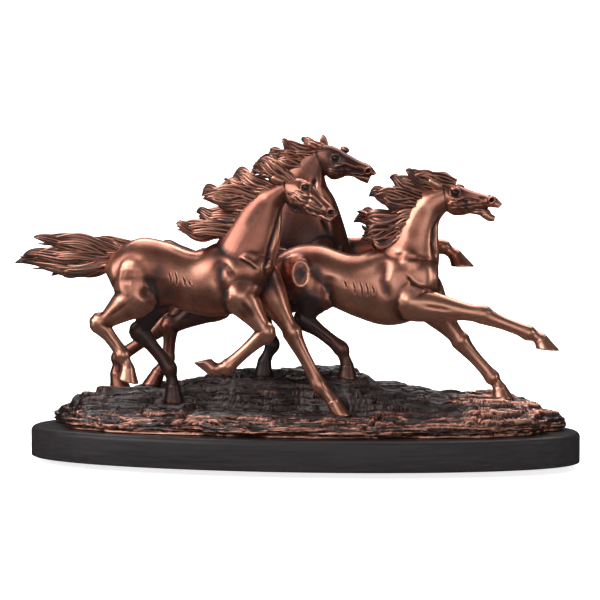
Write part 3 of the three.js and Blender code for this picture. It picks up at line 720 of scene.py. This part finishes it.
def carve_details(clay, horse):
    """Folds at the shoulder, rib scratches with a raised lip, and an oval on the leading horse's thigh."""
    depth = horse["depth"]
    for line, deep, wide in horse["folds"]:
        stroke(clay, line, deep, wide, depth, taper=0.35)
        lip = [(x + wide, z + 1.4 * wide) for x, z in line]
        stroke(clay, lip, -0.35 * deep, wide * 1.3, depth, taper=0.35)
    for top, low in horse["ribs"]:
        x, z = between(top, low, 0.5)
        line = [top, (x + 0.7, z), low]
        stroke(clay, line, 0.8, 0.45, depth, taper=0.3)
        stroke(clay, [(x + 1.0, z) for x, z in line], -0.3, 0.5, depth, taper=0.3)
    if horse is LEAD_HORSE:
        stroke(clay, arc(MARK, MARK_RADII, 0, 361, 24), -0.5, 1.4, 0, (-1,))
        dab(clay, (0.8, 135.2), (4.2, 7.0), 0, -0.9, 0, (-1,))
        stroke(clay, [(12, 143), (13, 131), (10, 117)], 0.6, 3.2, 0, (-1,), 0.3)


def fine_places(horse, points):
    """The head and the neighbourhood of every thin cut on the body."""
    chosen = near_head(horse, points)
    for line in [line for line, _, _ in horse["folds"]] + horse["ribs"]:
        chosen = chosen | (to_line(points, line)[0] < 3)
    return chosen


def sculpted(horse):
    clay = Clay(*fused(horse_forms(horse), VOXEL))
    legs = lower_leg(horse, clay.points)
    head = near_head(horse, clay.points)
    clay.smooth(BODY_ROUNDS, np.where(head, HEAD_SHARE, 1 - LEG_SHARE * legs))
    carve_body(clay, horse)
    clay = refined(clay, fine_places(horse, clay.points))
    clay.smooth(FINE_ROUNDS, fine_places(horse, clay.points) * 1.0)
    carve_details(clay, horse)
    carve_head(clay, horse)
    return clay


# The core of a lock and the strands over it: how many sides, steps and ridges, and how flat
CORE = dict(sides=48, steps=26, ridges=12, flat=0.5)
STRAND = dict(sides=14, steps=24, ridges=4, flat=0.8)
STRANDS = 9


def hair_strand(path, size, phase, curl, sides, steps, ridges, flat):
    """One tapering, waving strand through three or more points in space, fluted along its length."""
    line = spline(path, steps)
    t = np.linspace(0, 1, steps)
    run = units(np.gradient(line, axis=0))
    up = units(turned(run))
    up *= np.sign(up[:, 2:].mean() + 1e-9)
    wave = size * (0.5 * np.sin(2 * math.pi * (1.3 * t + phase)) * rise(0, 0.35, t) + curl * t**3)
    line = line + up * wave[:, None]
    line[:, 1] += 0.35 * size * np.sin(2 * math.pi * (0.9 * t + phase * 2))
    radius = size * ((1 - t**3) * (0.72 + 0.4 * t) + 0.05)
    angle = round_angles(sides)
    ridge = 1 + 0.24 * np.cos(ridges * angle[None, :] + 4 * t[:, None])
    across = np.array([0, 1, 0])
    rings = (line[:, None, :] + (radius[:, None] * np.cos(angle) * ridge)[..., None] * up[:, None, :]
             + (radius[:, None] * np.sin(angle) * ridge * flat)[..., None] * across)
    return closed_loft(rings)


def hair_lock(row, depth, drift, seed):
    """A lock: a fluted core with strands lying over it that part towards the tip."""
    root, middle, tip, width = row
    along = unit(np.array([middle[0] - root[0], middle[1] - root[1]], float))
    buried = (root[0] - along[0] * 6, root[1] - along[1] * 6)
    side = np.array([-along[1], along[0]])
    base = [(*buried, 0.0), (*middle, drift * 0.5), (*tip, drift)]
    core = [(x, depth + y, z) for x, z, y in base]
    forms = [hair_strand(core, width * 0.86, 0.1 * seed, 0, **CORE)]
    pick = np.random.default_rng(seed)
    for k in range(STRANDS):
        u = (k + 0.5) / STRANDS * 2 - 1
        face = (-1, -1, 1)[k % 3]
        reach = pick.uniform(0.72, 1.0) - 0.12 * abs(u)
        path = []
        short_tip = np.array(middle) + (np.array(tip) - middle) * reach
        rows = zip((0.66, 0.72, 0.5), (0.36, 0.4, 0.12), (*base[:2], (*short_tip, drift)))
        for spread_share, out_share, (x, z, y) in rows:
            spread = width * u * spread_share
            out = face * width * out_share
            path.append((x + side[0] * spread, depth + y + out, z + side[1] * spread))
        size, phase, curl = width * pick.uniform(0.19, 0.4), pick.uniform(0, 1), pick.uniform(-0.4, 1.4)
        forms.append(hair_strand(path, size, phase, curl, **STRAND))
    return forms


def hair_of(horse, seed):
    """Mane and tail, with the two eyeballs."""
    forms, depth = [], horse["depth"]
    for i, row in enumerate(horse["mane"]):
        forms += hair_lock(row, depth - 1, 4 if i % 2 else -3, seed + i)
    for i, row in enumerate(horse["tail"]):
        forms += hair_lock(row, depth, 3 * i - 3, seed + 20 + i)
    x, z = horse["eye"]
    middle = horse["head_turn"][1]
    forms += [ball((x, middle + side * 4.9, z), (2.5, 1.9, 1.8), -20, 24, 16) for side in (-1, 1)]
    return joined(forms)


def spot(points, place, radius):
    """One at a place in the XZ plane, falling to nothing a radius or two away."""
    return np.exp(-(((points[:, 0] - place[0]) ** 2 + (points[:, 2] - place[1]) ** 2) / radius**2))


STANDING = [(NEAR_HORSE, "far_hind", 1), (NEAR_HORSE, "far_fore", 1), (LEAD_HORSE, "near_hind", -1),
            (LEAD_HORSE, "far_hind", 1), (LEAD_HORSE, "far_fore", 1), (FAR_HORSE, "near_hind", -1),
            (FAR_HORSE, "far_hind", 1)]
HOOF_SINK = 1.4
# Full reach, fade and stretch along X of the rock that rises to a hoof, and of the seat under its sole
PAD_SLOPE, PAD_SEAT = (6, 11, 1.7), (5, 3, 1)


def oval(angle, half_x, half_y):
    """An outline a little fuller than an ellipse."""
    c, s = np.cos(angle), np.sin(angle)
    x = half_x * np.sign(c) * np.abs(c) ** (2 / OVAL_POWERS[0])
    y = half_y * np.sign(s) * np.abs(s) ** (2 / OVAL_POWERS[1])
    return x, y


def rock_edge(angle):
    chip = 1 + sum(size * np.sin(count * (angle + size)) for count, size in ROCK_CHIPS)
    x, y = oval(angle, ROCK_LENGTH / 2, ROCK_DEPTH / 2)
    return x * chip, y * chip


def rock_height(x, y, reach):
    """The mound: a lip at the rim, a low terrace in front, and a bank up to the ridge."""
    lip = ROCK_FLOOR + ROCK_LIP
    rim = rise(-ROCK_RIM_SHARE / 2, ROCK_RIM_SHARE, 1 - reach)
    bank = y + 4 * noise(x / 20, 0, 0, 8)
    share = TERRACE_SHARE + (END_SHARE - TERRACE_SHARE) * rise(*END_X, x)
    slope = share * rise(*TERRACE_Y, y) + (1 - share) * rise(*BANK_Y, bank)
    ridge = np.interp(x, *np.array(ROCK_RIDGE).T)
    height = lip + (ridge - lip) * rim * slope
    return height + 2.4 * rough_noise(x / 34, y / 13, 0, 5) * rise(0, 0.06, 1 - reach)


def layered(height, x, y):
    """Turns a smooth slope into thin ledges that wander, thicker and thinner."""
    for pitch, share, seed in ((5.2, 0.7, 11), (1.9, 0.5, 12)):
        wander = 0.9 * pitch * noise(x / 55, y / 16, 0, seed)
        step = (height + wander) / pitch
        whole = np.floor(step)
        ledge = (whole + rise(0.62, 0.98, step - whole)) * pitch - wander
        height = height + (ledge - height) * share
    return height


def from_sole(x, y, horse, leg, side, stretch=1):
    """Distance in plan from the middle of a hoof's sole."""
    toe, heel = horse[leg][-2:]
    return np.hypot((x - (toe[0] + heel[0]) / 2) / stretch, y - horse["depth"] - side * LEG_SPREAD)


def padded(x, y, height, full, fade, stretch):
    """Draws the rock round each standing hoof to the height of its sole."""
    for horse, leg, side in STANDING:
        toe, heel = horse[leg][-2:]
        away = from_sole(x, y, horse, leg, side, stretch)
        if stretch > 1:
            away = away + 2.5 * noise(x / 9, y / 4, 0, 3)
        weight = fall(full, full + fade, away)
        height = height + ((toe[1] + heel[1]) / 2 + HOOF_SINK - height) * weight
    return height


def rock_texture(x, y, height, reach):
    """Long splintered ridges, small crumbs on the bank, clefts in front, and a few long cracks."""
    back = rise(-33, -12, y)
    warp = 7 * noise(x / 44, y / 26, 0, 71)
    splinter = noise((x + warp) / 30, (y + 0.12 * x + warp) / 3.2, height / 8, 21)
    height = height + 1.3 * (0.5 - np.abs(splinter))
    height = height + (0.1 + 0.3 * back) * rough_noise(x / 9, y / 2.2, height / 1.8, 41)
    for at, deep, wide in CLEFTS:
        bent = x - at - 0.35 * (y + 60) + 3.5 * noise(0, y / 6, 0, int(at) % 7)
        cleft = deep * np.exp(-((bent / wide) ** 2)) * fall(-34, -20, y) * rise(0, 0.05, 1 - reach)
        height = height - cleft
    for across, along, deep, seed in ((95, 7, 2.4, 61), (48, 4.5, 1.4, 62)):
        crack = 1 - np.abs(noise((x + warp) / across, (y + warp) / along, height / 14, seed))
        height = height - deep * crack**12 * rise(0.02, 0.08, 1 - reach)
    return height


def stacked(clay):
    """Shale: thin layers that stand out by turns, each broken off here and there along its length."""
    x, y, z = clay.points.T
    seats = sum(fall(6, 11, from_sole(x, y, *row)) for row in STANDING).clip(0, 1)
    free = rise(ROCK_FLOOR + 0.2, ROCK_FLOOR + 1.6, z) * (1 - seats)
    total = 0
    for pitch, run, size, seed in ((4.6, 34, 1.7, 81), (1.9, 15, 0.75, 82)):
        level = z / pitch + 0.8 * noise(x / 55, y / 22, z / 30, seed)
        layer = np.floor(level)
        share = level - layer
        edge = rise(0, 0.22, share) * fall(0.72, 1, share)
        broken = rise(-0.35, 0.25, noise(x / run, y / 14, layer * 3.7, seed + 5))
        total = total + size * (edge * broken - 0.45)
    fine = 0.36 * rough_noise(x / 4.5, y / 2.6, z / 0.9, 91)
    clay.push((total + fine) * free)


def rock_form():
    """Rings from the middle of the rock out to its edge, then down its broken side to the plinth."""
    edge_x, edge_y = rock_edge(round_angles(ROCK_TURNS))
    reach = np.concatenate([[0.02], np.linspace(0.06, 1, ROCK_RINGS) ** 0.8])[:, None]
    x = ROCK_MIDDLE_X + reach * edge_x
    y = reach * edge_y
    reach = np.broadcast_to(reach, x.shape)
    height = padded(x, y, rock_height(x, y, reach), *PAD_SLOPE)
    height = rock_texture(x, y, layered(height, x, y), reach)
    height = padded(x, y, height, *PAD_SEAT)
    rings = list(np.stack([x, y, height], -1))
    top = height[-1]
    length = np.hypot(edge_x, edge_y)
    slab = rise(-84, -76, edge_x) * rise(10, -20, edge_y)
    wander = noise(edge_x / 18, edge_y, 0, 6)
    drift = 0.3 * noise(edge_x / 20, edge_y / 20, 0, 9)
    for share in np.linspace(0.12, 1, 14):
        z = top + (ROCK_FLOOR - top) * share
        u, v, w = edge_x / 16, edge_y / 16, z / 1.7 + drift
        inset = noise(u, v, w, 31) + 0.6 * noise(u * 3, v * 3, w * 1.5, 32)
        bulge = 1.2 * math.sin(math.pi * min(share * 1.2, 1)) - 1.6 * share**3
        bulge = bulge - rise(0.4, 0.85, share) * slab * (2.4 + 1.6 * wander)
        grown = 1 + (bulge + inset - 1.2) / length
        rings.append(np.stack([ROCK_MIDDLE_X + edge_x * grown, edge_y * grown, z], -1))
    return closed_loft(rings[::-1])


def plinth_form():
    """Rings up from the board's eased lower edge, round its upper edge and in over its top."""
    rows = [(0.8, 0), (0.25, 0.25), (0, 0.8), (0, (PLINTH_THICK - PLINTH_EDGE) / 2)]
    for turn in np.radians(np.linspace(0, 90, 9)):
        rows.append((PLINTH_EDGE * (1 - math.cos(turn)), PLINTH_THICK - PLINTH_EDGE * (1 - math.sin(turn))))
    rows.append((PLINTH_EDGE + 4, PLINTH_THICK))
    rings = []
    for inset, z in rows:
        x, y = oval(round_angles(PLINTH_SIDES), PLINTH_LENGTH / 2 - inset, PLINTH_DEPTH / 2 - inset)
        rings.append(np.stack([x, y, np.full(PLINTH_SIDES, float(z))], -1))
    return closed_loft(rings)


def piece(name, points, faces, material, node, slot, polish_and_painted_light=None):
    """A visible piece. Its polish_and_painted_light says, point by point, how bright its metal is: patina,
    rubbed copper, and in places painted shade and painted highlights.
    """
    mesh = bpy.data.meshes.new(name)
    mesh.from_pydata((np.asarray(points) * MM).tolist(), [], faces)
    mesh.shade_smooth()
    mesh.materials.append(material)
    if polish_and_painted_light is not None:
        layer = mesh.attributes.new("polish_and_painted_light", "FLOAT", "POINT")
        layer.data.foreach_set("value", np.asarray(polish_and_painted_light, np.float32))
    obj = placed(name, mesh)
    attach(obj, "root")
    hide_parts(node)
    return obj


def cast(name, clay, metal, polish_and_painted_light):
    """A piece of the copper casting."""
    polish_and_painted_light = np.clip(polish_and_painted_light, 0, 1)
    return piece(name, clay.points, clay.tris.tolist(), metal, "horse_group", "copper_casting", polish_and_painted_light)


def thinned(obj, ratio):
    """Spends fewer triangles where the surface is even."""
    obj.modifiers.new("thin", "DECIMATE").ratio = min(ratio, 1)
    mesh = modified(obj)
    obj.modifiers.clear()
    old, obj.data = obj.data, mesh
    bpy.data.meshes.remove(old)


class Nodes:
    """A material's node tree with short calls."""

    def __init__(self, name):
        self.material = bpy.data.materials.new(name)
        self.material.use_nodes = True
        self.tree = self.material.node_tree
        self.shader = self.tree.nodes["Principled BSDF"]

    def add(self, kind, inputs=None, **settings):
        node = self.tree.nodes.new(kind)
        for key, value in settings.items():
            setattr(node, key, value)
        for key, value in (inputs or {}).items():
            self.put(value, node.inputs[key])
        return node

    def put(self, value, socket):
        if isinstance(value, bpy.types.NodeSocket):
            self.tree.links.new(value, socket)
        else:
            socket.default_value = value

    def set(self, key, value):
        self.put(value, self.shader.inputs[key])

    def grain(self, scale, detail, rough=0.6, stretch=(1, 1, 1)):
        place = self.add("ShaderNodeTexCoord").outputs["Object"]
        mapped = self.add("ShaderNodeMapping", {"Vector": place, "Scale": stretch})
        made = self.add("ShaderNodeTexNoise", {"Vector": mapped.outputs["Vector"], "Scale": scale,
                                               "Detail": detail, "Roughness": rough})
        return made.outputs["Fac"]

    def math(self, how, a, b, clamp=False):
        return self.add("ShaderNodeMath", {0: a, 1: b}, operation=how, use_clamp=clamp).outputs[0]

    def varied(self, value, grain, amount, clamp=False):
        """A value that goes up and down with a grain by so much in all."""
        swing = self.math("MULTIPLY", self.math("SUBTRACT", grain, 0.5), amount)
        return self.math("ADD", value, swing, clamp)

    def ramp(self, value, stops):
        node = self.add("ShaderNodeValToRGB", {"Fac": value})
        ramp = node.color_ramp
        while len(ramp.elements) < len(stops):
            ramp.elements.new(0.5)
        for element, (place, colour) in zip(ramp.elements, stops):
            element.position = place
            element.color = (*colour, 1) if not np.isscalar(colour) else (colour, colour, colour, 1)
        return node.outputs["Color"]

    def bump(self, height, distance, strength):
        node = self.add("ShaderNodeBump", {"Height": height, "Distance": distance, "Strength": strength})
        self.set("Normal", node.outputs["Normal"])


# From patina through dull copper to the brightest
COPPER_RAMP = [(0.12, (0.034, 0.020, 0.019)), (0.38, (0.115, 0.048, 0.036)), (0.72, (0.345, 0.132, 0.09)),
               (1.0, (0.66, 0.315, 0.218))]
BLACK, WORN_BLACK = (0.015, 0.012, 0.013), (0.028, 0.023, 0.0245)


def copper(name, grain_scale, bump_mm, roughness, patina_roughness, coat=0.12, strata=0.0):
    """Cold-cast copper: dark patina where the polish_and_painted_light attribute is 0, rubbed bright where it
    is 1; that attribute also carries painted shade and painted highlights.
    """
    n = Nodes(name)
    polish_and_painted_light = n.add("ShaderNodeAttribute", attribute_name="polish_and_painted_light").outputs["Fac"]
    mottle = n.grain(90, 4, 0.6)
    fine = n.grain(grain_scale, 3, 0.65)
    metal_brightness = n.varied(n.varied(polish_and_painted_light, mottle, 0.34), fine, 0.22, clamp=True)
    n.set("Base Color", n.ramp(metal_brightness, COPPER_RAMP))
    n.set("Metallic", n.ramp(metal_brightness, [(0.1, 0.6), (0.6, 0.93)]))
    n.set("Roughness", n.varied(n.ramp(metal_brightness, [(0.1, patina_roughness), (0.8, roughness)]), fine, 0.12))
    n.set("Coat Weight", coat)
    n.set("Coat Roughness", 0.3)
    relief = n.math("ADD", n.math("MULTIPLY", mottle, 0.7), fine)
    if strata:
        layers = n.grain(150, 5, 0.7, stretch=(0.3, 1, 2.6))
        relief = n.math("ADD", relief, n.math("MULTIPLY", layers, strata))
    n.bump(relief, bump_mm * MM, 0.8)
    return n.material


def lacquer():
    """Satin black lacquer over a board whose grain runs along it."""
    n = Nodes("black_lacquer")
    grain = n.grain(60, 5, 0.6, stretch=(0.35, 3, 9))
    dust = n.grain(420, 2, 0.5)
    n.set("Base Color", n.ramp(grain, [(0.3, BLACK), (0.7, WORN_BLACK)]))
    uneven = n.math("ADD", n.math("MULTIPLY", grain, 0.7), n.math("MULTIPLY", dust, 0.3))
    n.set("Roughness", n.ramp(uneven, [(0.25, 0.36), (0.75, 0.5)]))
    n.set("Specular IOR Level", 0.3)
    n.bump(grain, 0.06 * MM, 0.6)
    return n.material


HORSE_METAL = copper("polished_copper", 700, 0.02, 0.3, 0.36)
HAIR_METAL = copper("hair_copper", 900, 0.09, 0.34, 0.42)
ROCK_METAL = copper("rock_copper", 420, 0.7, 0.3, 0.24, coat=0.5, strata=1.6)


def leg_cover(horse, leg, points):
    """How much of each point belongs to one leg below stifle or elbow, from 0 to 1."""
    path = horse[leg]
    side = -1 if leg.startswith("near") else 1
    away, _ = to_line(points, [between(path[1], path[2], 0.55), *path[2:5], between(path[5], path[6], 0.5)])
    across = np.abs(points[:, 1] - horse["depth"] - side * LEG_SPREAD)
    return fall(7, 21, away) * fall(9, 13, across)


def horse_polish_and_painted_light(clay, horse, metal_brightness):
    """Patina in the small hollows and stains, bright on the flanks; painted shade in the broad hollows, low
    on the inner side, in the chest, under the jaw and where other horses shade a body; patina and painted
    shade on the legs behind; painted highlights on the near horse's barrel, thigh, cheek and near legs.
    """
    x, y, z = clay.points.T
    inward = y - horse["depth"]
    # Patina in the small hollows; the broad hollow term is painted shade, darkening the wide hollows between
    # parts and lightening the rounded forms.
    polish_and_painted_light = metal_brightness - clay.hollow(5) * 2.0 - np.maximum(clay.hollow(40), -0.4) * 0.5
    # Each leg darker by its patina and by painted shade where it stands behind the others; a negative amount
    # is a painted highlight on a near leg.
    for leg, amount in horse["patina_and_painted_light"].items():
        polish_and_painted_light -= amount * leg_cover(horse, leg, clay.points)
    # Painted shade low on the body's inner side, under the belly where the horses shade each other.
    polish_and_painted_light -= 0.22 * fall(98, 118, z) * rise(-4, 10, inward)
    polish_and_painted_light -= 0.8 * spot(clay.points, horse["nostril"], 1.7) + 0.5 * spot(clay.points, horse["eye"], 3.4)
    # Stains of patina, painted shade under the near horse's jaw and in its chest, and painted highlights
    # where the amount is below nothing.
    for *place, radius, amount in horse["stains_and_painted_light"]:
        polish_and_painted_light -= amount * spot(clay.points, place, radius)
    if horse is NEAR_HORSE:
        # A painted highlight on the near horse's cheek.
        polish_and_painted_light += 0.16 * spot(clay.points, horse["cheek"], 7)
    if horse is LEAD_HORSE:
        # Painted shade on the leading horse's hindquarters, where the near horse's neck shades them.
        polish_and_painted_light -= 0.24 * fall(-2, 34, x)
    if horse is FAR_HORSE:
        # Painted shade across the far horse's body, strongest on its front side, in the shadow of the horses
        # before it.
        polish_and_painted_light -= fall(150, 185, z) * rise(88, 112, z) * (0.3 - 0.2 * rise(-6, 8, inward))
    return polish_and_painted_light


# Each horse's skin is thinned to this many triangles
HORSE_TRIANGLES = 150000
# Name, lines, how bright the metal is overall, wear of the hair in its hollows and what its ridges add, seed
HORSES = [("near_horse", NEAR_HORSE, 0.61, -0.3, 7.2, 100), ("lead_horse", LEAD_HORSE, 0.78, -0.52, 4.8, 200),
          ("far_horse", FAR_HORSE, 0.43, -0.32, 7.0, 300)]
for name, horse, metal_brightness, hair_worn, ridge_worn, seed in HORSES:
    clay = sculpted(horse)
    body = cast(name, clay, HORSE_METAL, horse_polish_and_painted_light(clay, horse, metal_brightness))
    thinned(body, HORSE_TRIANGLES / len(clay.tris))
    hair = Clay(*evaluated(temporary(*hair_of(horse, seed))))
    x, y, z = hair.points.T
    tone = noise(x / 15, y / 12, z / 8, seed)
    polish_and_painted_light = hair_worn + 0.14 * tone - hair.hollow(2) * (ridge_worn + tone)
    polish_and_painted_light -= 0.36 * fall(-150, -110, x) + 0.9 * spot(hair.points, horse["eye"], 2.6)
    cast(name + "_hair", hair, HAIR_METAL, polish_and_painted_light)

rock = Clay(*evaluated(temporary(*rock_form())))
stacked(rock)
x, y, z = rock.points.T
patches = noise(x / 14, y / 14, z / 5, 51)
# Copper rubbed bright on the ridges of the low front slabs and towards the right end, partly a painted
# highlight where the light falls on the front lip.
front_copper_and_highlight = rise(-10, -40, y) * fall(30, 38, z) * (0.75 + 0.5 * patches) + 0.9 * rise(95, 160, x)
polish_and_painted_light = -0.06 + 0.02 * front_copper_and_highlight + 0.14 * rise(110, 160, x)
polish_and_painted_light = polish_and_painted_light - rock.hollow(1) * (0.4 + 9.5 * front_copper_and_highlight) - rock.hollow(10) * (0.08 + 0.5 * front_copper_and_highlight)
cast("rock", rock, ROCK_METAL, polish_and_painted_light)
piece("plinth_board", *plinth_form(), lacquer(), "plinth", "black_lacquer")


def aimed(obj, place, direction):
    obj.location = place
    obj.rotation_euler = direction.to_track_quat("-Z", "Y").to_euler()


def area_light(name, place, aim, size, power):
    data = bpy.data.lights.new(name, "AREA")
    data.shape = "RECTANGLE"
    data.size, data.size_y = size
    data.energy = power
    aimed(placed(name, data), place, Vector(aim) - Vector(place))


# The middle of the horses, which most lights look at
MIDDLE = (0, 0, 0.12)


def studio():
    """A pale floor that curves up behind, lit softly from above, in front and both sides."""
    profile = [(-3.0, 0.0), (1.2, 0.0), (1.7, 0.06), (2.1, 0.25), (2.35, 0.6), (2.45, 1.2), (2.45, 3.0)]
    line = spline(profile, 60)
    mesh = bpy.data.meshes.new("floor")
    points = [(x, float(y), float(z)) for y, z in line for x in (-4.0, 4.0)]
    mesh.from_pydata(points, [], [(2 * i, 2 * i + 1, 2 * i + 3, 2 * i + 2) for i in range(len(line) - 1)])
    mesh.shade_smooth()
    n = Nodes("floor_white")
    n.set("Base Color", n.ramp(n.grain(40, 2), [(0.3, 0.90), (0.7, 0.93)]))
    n.set("Roughness", 0.7)
    n.set("Specular IOR Level", 0.2)
    n.set("Emission Color", (1, 1, 1, 1))
    n.set("Emission Strength", 0.8)
    mesh.materials.append(n.material)
    floor = placed("floor", mesh)
    floor.visible_glossy = False
    area_light("key", (-1.1, -1.15, 1.0), MIDDLE, (1.3, 1.1), 19)
    area_light("strip", (-1.45, -1.0, 0.45), MIDDLE, (0.14, 1.1), 3.5)
    area_light("fill", (0.35, -2.4, 0.5), MIDDLE, (1.9, 1.2), 8.6)
    area_light("top", (0.0, 0.15, 1.4), (0, 0, 0.1), (1.4, 0.6), 6)
    area_light("side", (1.5, -0.8, 0.5), MIDDLE, (0.3, 0.8), 3)
    area_light("backdrop", (0, 1.2, 2.2), (0, 2.4, 0.4), (3.0, 1.0), 90)
    world = bpy.data.worlds.new("studio")
    world.use_nodes = True
    sky = world.node_tree.nodes["Background"].inputs
    sky["Color"].default_value = (1, 1, 1, 1)
    sky["Strength"].default_value = 0.03
    bpy.context.scene.world = world
    bpy.context.scene.view_settings.view_transform = "Standard"


def camera():
    """The photographer's place: a little to the right of the middle and above the horses' backs."""
    turn, tip, away = math.radians(6.6), math.radians(3.9), 1.5
    aim = Vector((-0.0017, 0, 0.1146))
    back = Vector((math.sin(turn) * math.cos(tip), -math.cos(turn) * math.cos(tip), math.sin(tip)))
    data = bpy.data.cameras.new("camera")
    data.sensor_width = 36
    data.lens = 124.4
    obj = placed("camera", data)
    aimed(obj, aim + back * away, -back)
    bpy.context.scene.camera = obj


studio()
camera()
